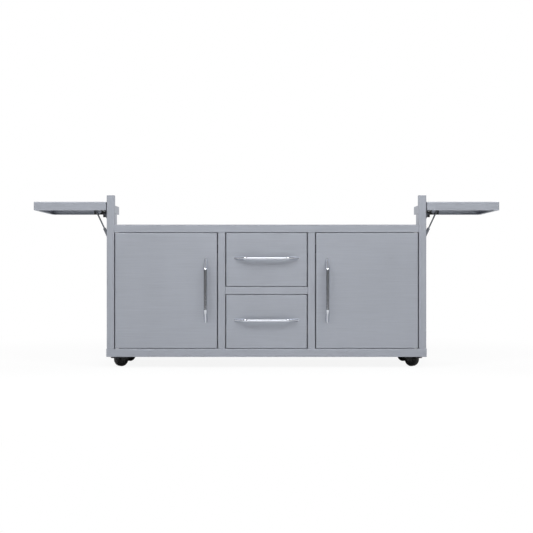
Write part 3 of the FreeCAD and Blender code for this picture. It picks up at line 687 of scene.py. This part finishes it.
def joined(name: str, parts: Sequence[bpy.types.Mesh]) -> bpy.types.Mesh:
    """Several meshes of one finish as one.

    Args:
        name: of the new mesh.
        parts: the meshes.

    Returns:
        The new mesh.
    """
    work = bmesh.new()
    for part in parts:
        work.from_mesh(part)
    made = bpy.data.meshes.new(name)
    work.to_mesh(made)
    work.free()
    return made


def grown(name: str, mesh: bpy.types.Mesh, tree: bpy.types.NodeTree,
          values: Mapping[str, object]) -> bpy.types.Mesh:
    """Run a geometry tree once and keep its result as a plain mesh.

    Args:
        name: of the result.
        mesh: what the tree starts from.
        tree: the geometry nodes.
        values: an input for each socket identifier.

    Returns:
        The plain mesh.
    """
    carrier = bpy.data.objects.new(name + "_carrier", mesh)
    bpy.context.scene.collection.objects.link(carrier)
    modifier = carrier.modifiers.new("grown", "NODES")
    modifier.node_group = tree
    for key, value in values.items():
        modifier[key] = value
    seen = carrier.evaluated_get(bpy.context.evaluated_depsgraph_get())
    plain = bpy.data.meshes.new_from_object(seen)
    plain.name = name
    carrier.modifiers.remove(modifier)
    bpy.data.objects.remove(carrier)
    return plain


def settle(name: str, mesh: bpy.types.Mesh, body: str, finish: Finish) -> bpy.types.Object:
    """Make a finished mesh a piece of the cart.

    Args:
        name: of the piece.
        mesh: its shape, in place.
        body: that it moves with.
        finish: whose slot it takes.

    Returns:
        The piece.
    """
    mesh.materials.clear()
    mesh.materials.append(finish.material())
    mesh.polygons.foreach_set("material_index", [0] * len(mesh.polygons))
    piece = bpy.data.objects.new(name, mesh)
    bpy.context.scene.collection.objects.link(piece)
    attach(piece, body)
    LOG.info("%s on %s: %d faces", name, body, len(mesh.polygons))
    return piece


class Side(Enum):
    """Left or right half of the cart, with the sign of its X."""

    LEFT = -1
    RIGHT = 1

    @property
    def word(self) -> str:
        """The word that starts a piece's name."""
        return self.name.lower()


class Level(Enum):
    """The upper or lower drawer."""

    UPPER = "upper"
    LOWER = "lower"


class End(Enum):
    """The front or rear pair of casters."""

    FRONT = "front"
    REAR = "rear"


def centre(node: str) -> Vector:
    """The middle of a frame piece's box."""
    low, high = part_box(node)
    return (low + high) / 2.0


@dataclass
class FrameWork:
    """Welded tube frame with its sheet panels."""

    across: Tuple[str, ...] = ("base_front_rail", "base_rear_rail", "top_front_rail", "top_rear_rail",
                               "drawer_divider_rail", "floor_panel", "deck_panel", "back_panel")
    deep: Tuple[str, ...] = ("base_depth_rails", "top_side_rails", "side_panels", "partition_panels")
    upright: Tuple[str, ...] = ("front_posts", "rear_posts", "drawer_stiles", "rear_shelf_brackets")
    weld_step: float = 0.165
    weld_ripples: int = 14
    weld_pitch: float = 0.0021
    least_runs: int = 2
    ripple_lean: float = 0.35
    catch_row: float = 0.013
    bead: Tuple[Span, ...] = ((0.0, -2.6), (-1.1, -1.1), (-2.2, -0.35), (-2.4, 0.25), (-1.6, 1.0),
                              (-0.6, 1.45), (0.3, 1.6), (0.4, -0.4))

    def dress(self) -> None:
        """Brush each piece along its length."""
        for names, finish in ((self.across, STEEL_X), (self.deep, STEEL_Y), (self.upright, STEEL_Z)):
            for name in names:
                dress(name, finish)
        dress("door_pivot_bushes", NYLON)
        dress("door_catches", PLASTIC)
        dress("drawer_slide_outers", ZINC)
        # The fixed hinge leaves take the near-black finish. It is partly their own colour and partly
        # painted shade, standing in for the shade under the shelves' inner ends.
        dress("shelf_fixed_leaves", BLACK)
        dress("strut_feet", BLACK)
        dress("caster_plates", ZINC)

    def fasten(self, tree: FastenerTree) -> None:
        """Weld the panels to the frame in short runs, and screw on the catches.

        Args:
            tree: sets the ripples and screws.
        """
        low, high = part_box("back_panel")
        spots: List[Spot] = []
        for z, up in ((low.z, 1.0), (high.z, -1.0)):
            spots += self.stitches(Vector((low.x, high.y, z)), Vector((high.x, high.y, z)),
                                   Vector((0.0, 1.0, up)))
        for x, in_x in ((low.x, 1.0), (high.x, -1.0)):
            spots += self.stitches(Vector((x, high.y, low.z)), Vector((x, high.y, high.z)),
                                   Vector((in_x, 1.0, 0.0)))
        tree.fix("back_panel_welds", "cart_frame", RIPPLE, spots)
        low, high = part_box("side_panels")
        spots = []
        for x, out in ((low.x, -1.0), (high.x, 1.0)):
            for y, deep in ((low.y, 1.0), (high.y, -1.0)):
                spots += self.stitches(Vector((x, y, low.z)), Vector((x, y, high.z)),
                                       Vector((out, deep, 0.0)))
            spots += self.stitches(Vector((x, low.y, low.z)), Vector((x, high.y, low.z)),
                                   Vector((out, 0.0, 1.0)))
        tree.fix("side_panel_welds", "cart_frame", RIPPLE, spots)
        low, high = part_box("door_catches")
        middle = centre("door_catches")
        spots = []
        for x, out in ((low.x, -1.0), (high.x, 1.0)):
            for rise in (-self.catch_row, self.catch_row):
                spots.append((Vector((x, middle.y, middle.z + rise)), Vector((out, 0.0, 0.0))))
        tree.fix("catch_screws", "cart_frame", PAN_HEAD, spots)
        self.seam()

    def seam(self) -> None:
        """Close the seam between the floor's front edge and the rounded rail with a bead of weld."""
        low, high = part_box("floor_panel")
        points = [(x, low.y + y * MM, low.z + z * MM) for x in (low.x, high.x) for y, z in self.bead]
        count = len(self.bead)
        faces = [tuple(range(count)), tuple(reversed(range(count, 2 * count)))]
        for step in range(count):
            after = (step + 1) % count
            faces.append((step, count + step, count + after, after))
        mesh = bpy.data.meshes.new("floor_seam_weld")
        mesh.from_pydata(points, [], faces)
        settle("floor_seam_weld", mesh, "cart_frame", WELD)

    def stitches(self, start: Vector, end: Vector, facing: Vector) -> List[Spot]:
        """Ripples of a seam that is welded in short runs.

        Args:
            start: of the seam.
            end: of the seam.
            facing: out of the corner.

        Returns:
            The place of each ripple and the way that it faces.
        """
        length = (end - start).length
        along = (end - start) / length
        runs = max(self.least_runs, round(length / self.weld_step))
        lean = facing.normalized() - along * self.ripple_lean
        spots: List[Spot] = []
        for run in range(runs):
            middle = length * (run + HALF) / runs
            for ripple in range(self.weld_ripples):
                far = middle + (ripple - self.weld_ripples / 2.0) * self.weld_pitch
                spots.append((start + along * far, lean))
        return spots


@dataclass
class Door:
    """One door with its liner, handle and pivots."""

    side: Side
    foot: float = 0.158

    def dress(self) -> None:
        """Finish the door's pieces."""
        door = self.side.word + "_door"
        dress(door + "_skin", STEEL_X)
        dress(door + "_liner", STEEL_X)
        dress(door + "_handle", BRIGHT)
        dress(door + "_pivot_pins", ZINC)

    def fasten(self, tree: FastenerTree) -> None:
        """Bolt the handle on from inside the door.

        Args:
            tree: sets the bolts.
        """
        door = self.side.word + "_door"
        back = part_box(door + "_liner")[1].y
        bar = centre(door + "_handle")
        spots = [(Vector((bar.x, back, bar.z + rise)), INWARD) for rise in (-self.foot, self.foot)]
        tree.fix(door + "_handle_bolts", door, HEX_HEAD, spots)


@dataclass
class Drawer:
    """One drawer with its front, box, handle and slides."""

    level: Level
    foot: float = 0.158
    wall: float = 0.0015
    screw_shares: Tuple[float, ...] = (0.08, 0.36, 0.64, 0.92)

    def dress(self) -> None:
        """Finish the drawer's pieces."""
        word = self.level.value
        dress(word + "_drawer_front", STEEL_X)
        dress(word + "_drawer_box", STEEL_Y)
        dress(word + "_drawer_handle", BRIGHT)
        dress(word + "_slide_middles", ZINC)
        dress(word + "_slide_inners", ZINC)

    def fasten(self, tree: FastenerTree) -> None:
        """Bolt the handle and screw the slides on from inside the box.

        Args:
            tree: sets the bolts and screws.
        """
        word = self.level.value
        low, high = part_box(word + "_drawer_box")
        bar_z = centre(word + "_drawer_handle").z
        spots = [(Vector((x, low.y + self.wall, bar_z)), INWARD) for x in (-self.foot, self.foot)]
        tree.fix(word + "_drawer_handle_bolts", word + "_drawer", HEX_HEAD, spots)
        rail_low, rail_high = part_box(word + "_slide_inners")
        rail_z = centre(word + "_slide_inners").z
        spots = []
        for x, facing in ((low.x + self.wall, 1.0), (high.x - self.wall, -1.0)):
            for share in self.screw_shares:
                y = rail_low.y + (rail_high.y - rail_low.y) * share
                spots.append((Vector((x, y, rail_z)), Vector((facing, 0.0, 0.0))))
        tree.fix(word + "_slide_screws", word + "_drawer", PAN_HEAD, spots)


@dataclass
class DropShelf:
    """One folding side shelf with its hinges and struts."""

    side: Side
    hinge_length: float = 0.060
    leaf: float = 0.002
    leaf_face: float = 0.849
    leaf_margin: float = 0.010
    leaf_row: float = 0.8675
    plate_face: float = 0.814
    foot_long: float = 0.030
    foot_holes: Tuple[Span, ...] = ((0.0245, 0.0165), (0.0245, -0.0165), (0.0055, -0.0165))
    leaf_shares: Span = (0.18, 0.82)
    bolt_edge: float = 0.015
    bolt_rows: Span = (0.014, 0.046)
    hanger_row: float = 0.013
    hanger_edge: float = 0.009
    hanger_end: float = 0.010

    def dress(self) -> None:
        """Finish the shelf's pieces."""
        dress(self.side.word + "_shelf_tray", STEEL_X)
        # The moving hinge leaves and hangers take the near-black finish. It is partly their own colour and
        # partly painted shade, standing in for the shade under the shelf's inner end.
        dress(self.side.word + "_shelf_leaves", BLACK)
        dress(self.side.word + "_shelf_hangers", BLACK)
        dress(self.side.word + "_strut_tubes", ENAMEL)
        dress(self.side.word + "_strut_rods", ENAMEL)

    def fasten(self, tree: FastenerTree) -> None:
        """Screw on the hinge leaves, hangers, strut feet and the rear bracket.

        Args:
            tree: sets the screws.
        """
        word, sign = self.side.word, self.side.value
        outward = Vector((sign, 0.0, 0.0))
        low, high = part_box("shelf_fixed_leaves")
        rows = [start + self.hinge_length * share for start in (low.y, high.y - self.hinge_length)
                for share in self.leaf_shares]
        fixed = [(Vector((sign * self.leaf_face, y, low.z + self.leaf_margin)), outward) for y in rows]
        low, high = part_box("strut_feet")
        middle = centre("strut_feet").z
        for start in (low.y, high.y - self.foot_long):
            for deep, rise in self.foot_holes:
                fixed.append((Vector((sign * self.plate_face, start + deep, middle + rise)), outward))
        tree.fix(word + "_shelf_fixed_screws", "cart_frame", PAN_HEAD, fixed)
        low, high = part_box("rear_shelf_brackets")
        bolts = [(Vector((sign * self.plate_face, y, low.z + rise)), outward)
                 for y in (low.y + self.bolt_edge, high.y - self.bolt_edge) for rise in self.bolt_rows]
        tree.fix(word + "_bracket_bolts", "cart_frame", HEX_HEAD, bolts)
        low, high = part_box(word + "_shelf_leaves")
        moving = [(Vector((sign * self.leaf_row, y, high.z - self.leaf)), DOWN) for y in rows]
        low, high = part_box(word + "_shelf_hangers")
        near, far = sorted((abs(low.x), abs(high.x)))
        for y in (low.y + self.hanger_row, high.y - self.hanger_edge):
            for x in (near + self.hanger_end, far - self.hanger_end):
                moving.append((Vector((sign * x, y, high.z - self.leaf)), DOWN))
        tree.fix(word + "_shelf_screws", word + "_shelf", PAN_HEAD, moving)


@dataclass
class Caster:
    """One swivel caster."""

    side: Side
    end: End
    hole_x: float = 0.038
    hole_y: float = 0.027
    fork_half: float = 0.020
    crown_drop: float = 0.0127
    recess_half: float = 0.011

    @property
    def name(self) -> str:
        """The words that start the names of this caster's pieces."""
        return "%s_%s_caster" % (self.side.word, self.end.value)

    def dress(self) -> None:
        """Finish the caster's pieces."""
        dress(self.name + "_fork", BLACK)
        dress(self.name + "_wheel", RUBBER)
        if self.end is End.FRONT:
            dress(self.name + "_pedal", PLASTIC)

    def joint(self, move: str) -> Tuple[Vector, Vector]:
        """Place and axis of one of the caster's joints.

        Args:
            move: the word that ends the joint's name.

        Returns:
            A point on the axis, in metres, and the axis.
        """
        wanted = "%s_%s" % (self.name, move)
        found = next(joint for joint in frame["joints"] if joint["name"] == wanted)
        return Vector(found["pos_m"]), Vector(found["axis"])

    def fasten(self, tree: FastenerTree) -> None:
        """Bolt the plate to the base, and put nuts on the axle and a head on the kingpin.

        Args:
            tree: sets the bolts and nuts.
        """
        swivel, _ = self.joint("swivel")
        axle, way = self.joint("roll")
        plate_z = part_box("caster_plates")[0].z
        bolts = [(Vector((swivel.x + x, swivel.y + y, plate_z)), DOWN)
                 for x in (-self.hole_x, self.hole_x) for y in (-self.hole_y, self.hole_y)]
        tree.fix(self.name + "_plate_bolts", "cart_frame", HEX_HEAD, bolts)
        nuts = [(axle + way * sign * self.fork_half, way * sign) for sign in (-1.0, 1.0)]
        tree.fix(self.name + "_axle_nuts", self.name, LOCK_NUT, nuts)
        pin = [(Vector((swivel.x, swivel.y, plate_z - self.crown_drop)), DOWN)]
        tree.fix(self.name + "_kingpin_head", self.name, PIN_HEAD, pin)

    def ribs(self, tree: RibTree) -> None:
        """Mould the ribs inside both faces of the wheel.

        Args:
            tree: repeats one rib round the hub.
        """
        axle, way = self.joint("roll")
        both: List[bpy.types.Mesh] = []
        for sign in (-1.0, 1.0):
            mesh = tree.wheel_face(self.name + "_face", RIB)
            turn = (way * sign).to_track_quat("Z", "Y").to_matrix().to_4x4()
            mesh.transform(Matrix.Translation(axle + way * sign * self.recess_half) @ turn)
            both.append(mesh)
        name = self.name + "_wheel_ribs"
        settle(name, joined(name, both), self.name + "_wheel", RIB)


Assembly = Union[FrameWork, Door, Drawer, DropShelf, Caster]


@dataclass(frozen=True)
class SoftBox:
    """One square lamp of the studio."""

    name: str
    place: Point
    width: float
    watts: float


@dataclass
class Studio:
    """White studio, its lamps and the camera at the photograph's place."""

    picture_px: float = 533.0
    focal_px: float = 1070.0
    sensor_mm: float = 36.0
    distance: float = 5.67
    eye_height: float = 0.5365
    floor_half: float = 4.6
    floor_colour: Colour = (0.86, 0.86, 0.86)
    shadow_share: float = 0.10
    zenith: float = 0.48
    horizon: float = 0.18
    nadir: float = 1.00
    sky_levels: Tuple[float, ...] = (0.30, 0.45, 0.64, 0.86)
    shadow_fade: Span = (1.3, 2.8)
    floor_backdrop: Span = (0.5, 2.0)
    sky_backdrop: Span = (0.05, 0.35)
    aim: Point = (0.0, 0.0, 0.45)
    boxes: Tuple[SoftBox, ...] = (SoftBox("key_soft_box", (0.0, -4.4, 3.1), 1.5, 44.0),
                                  SoftBox("left_soft_box", (-2.6, -3.2, 3.8), 1.6, 114.0),
                                  SoftBox("right_soft_box", (2.6, -3.2, 3.8), 1.6, 114.0),
                                  SoftBox("top_soft_box", (0.0, 1.5, 4.2), 1.6, 36.0))
    level_tilt: float = 90.0
    sight: float = 200.0

    def build(self) -> None:
        """Make the floor, world, lamps and camera."""
        self.floor()
        self.world()
        self.lamps()
        self.camera()
        bpy.context.scene.view_settings.view_transform = "Standard"

    @staticmethod
    def seen_white(book: NodeBook, behind: Wire) -> Wire:
        """Pick out the rays that show the background.

        Args:
            book: the tree of the floor or the world.
            behind: one at the back of the studio, where metal mirrors the backdrop.

        Returns:
            One for a ray that comes straight from the eye, through glass or off metal to the backdrop.
        """
        seen = book.add("ShaderNodeLightPath", output="Is Camera Ray")
        through = book.add("ShaderNodeLightPath", output="Is Transmission Ray")
        shine = book.add("ShaderNodeLightPath", output="Is Glossy Ray")
        return seen | through | shine * behind

    @staticmethod
    def ramp(book: NodeBook, value: Wire, span: Span) -> Wire:
        """A soft step.

        Args:
            book: the tree.
            value: what is measured.
            span: the values that give nought and one.

        Returns:
            The step.
        """
        return book.add("ShaderNodeMapRange", {"interpolation_type": "SMOOTHSTEP"},
                        {"Value": value, "From Min": span[0], "From Max": span[1]})

    def floor(self) -> None:
        """A pale floor that keeps a faint shadow."""
        half = self.floor_half
        mesh = bpy.data.meshes.new("studio_floor")
        corners = [(-half, -half, 0.0), (half, -half, 0.0), (half, half, 0.0), (-half, half, 0.0)]
        mesh.from_pydata(corners, [], [(0, 1, 2, 3)])
        piece = bpy.data.objects.new("studio_floor", mesh)
        bpy.context.scene.collection.objects.link(piece)
        made = bpy.data.materials.new("studio_floor")
        made.use_nodes = True
        book = NodeBook(made.node_tree)
        at = book.add("ShaderNodeTexCoord", output="Object")
        away = book.add("ShaderNodeVectorMath", {"operation": "LENGTH"}, {0: at}, output="Value")
        matt = book.add("ShaderNodeBsdfDiffuse", inputs={"Color": (*self.floor_colour, 1.0)})
        white = book.add("ShaderNodeEmission", inputs={"Color": (1.0, 1.0, 1.0, 1.0), "Strength": 1.0})
        deep = book.add("ShaderNodeSeparateXYZ", inputs={0: at}, output="Y")
        shade = (1.0 - self.ramp(book, away, self.shadow_fade)) * self.shadow_share
        share = self.seen_white(book, self.ramp(book, deep, self.floor_backdrop)) * (1.0 - shade)
        mixed = book.add("ShaderNodeMixShader", inputs={0: share, 1: matt, 2: white})
        book.add("ShaderNodeOutputMaterial", inputs={"Surface": mixed})
        mesh.materials.append(made)

    def world(self) -> None:
        """Soft light, dimmest about the horizon, with a white backdrop behind the cart."""
        world = bpy.data.worlds.new("studio")
        bpy.context.scene.world = world
        world.use_nodes = True
        book = NodeBook(world.node_tree)
        way = book.add("ShaderNodeTexCoord", output="Generated")
        height = book.add("ShaderNodeSeparateXYZ", inputs={0: way}, output="Z")
        level = height * HALF + HALF
        greys = (self.nadir, self.horizon, self.horizon, self.zenith)
        stops = [(place, (grey,) * 3) for place, grey in zip(self.sky_levels, greys)]
        soft = book.add("ShaderNodeValToRGB", {"stops": stops}, {0: level})
        deep = book.add("ShaderNodeSeparateXYZ", inputs={0: way}, output="Y")
        white = self.seen_white(book, self.ramp(book, deep, self.sky_backdrop))
        colour = book.blend(white, soft, (1.0, 1.0, 1.0))
        back = book.add("ShaderNodeBackground", inputs={"Color": colour, "Strength": 1.0})
        book.add("ShaderNodeOutputWorld", inputs={"Surface": back})

    def lamps(self) -> None:
        """A soft box above the eye, one on each side and one high behind the cart."""
        for box in self.boxes:
            data = bpy.data.lights.new(box.name, "AREA")
            data.shape = "SQUARE"
            data.size = box.width
            data.energy = box.watts
            lamp = bpy.data.objects.new(box.name, data)
            lamp.location = box.place
            lamp.rotation_euler = (Vector(self.aim) - Vector(box.place)).to_track_quat("-Z", "Y").to_euler()
            bpy.context.scene.collection.objects.link(lamp)

    def camera(self) -> None:
        """A level camera in front of the cart."""
        data = bpy.data.cameras.new("photograph")
        data.sensor_width = self.sensor_mm
        data.lens = self.focal_px / self.picture_px * self.sensor_mm
        data.clip_end = self.sight
        eye = bpy.data.objects.new("photograph", data)
        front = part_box("front_posts")[0].y
        eye.location = (0.0, front - self.distance, self.eye_height)
        eye.rotation_euler = (math.radians(self.level_tilt), 0.0, 0.0)
        bpy.context.scene.collection.objects.link(eye)
        bpy.context.scene.camera = eye


def main() -> None:
    """Build and dress the cart, sub-assembly by sub-assembly, then its studio."""
    logging.basicConfig(level=logging.INFO, format="%(name)s %(message)s")
    assemblies: List[Assembly] = [FrameWork()]
    assemblies += [Door(side) for side in Side]
    assemblies += [Drawer(level) for level in Level]
    assemblies += [DropShelf(side) for side in Side]
    assemblies += [Caster(side, end) for side in Side for end in End]
    fasteners = FastenerTree()
    ribs = RibTree()
    for assembly in assemblies:
        assembly.dress()
        assembly.fasten(fasteners)
        if isinstance(assembly, Caster):
            assembly.ribs(ribs)
    Studio().build()


if __name__ == "__main__":
    main()
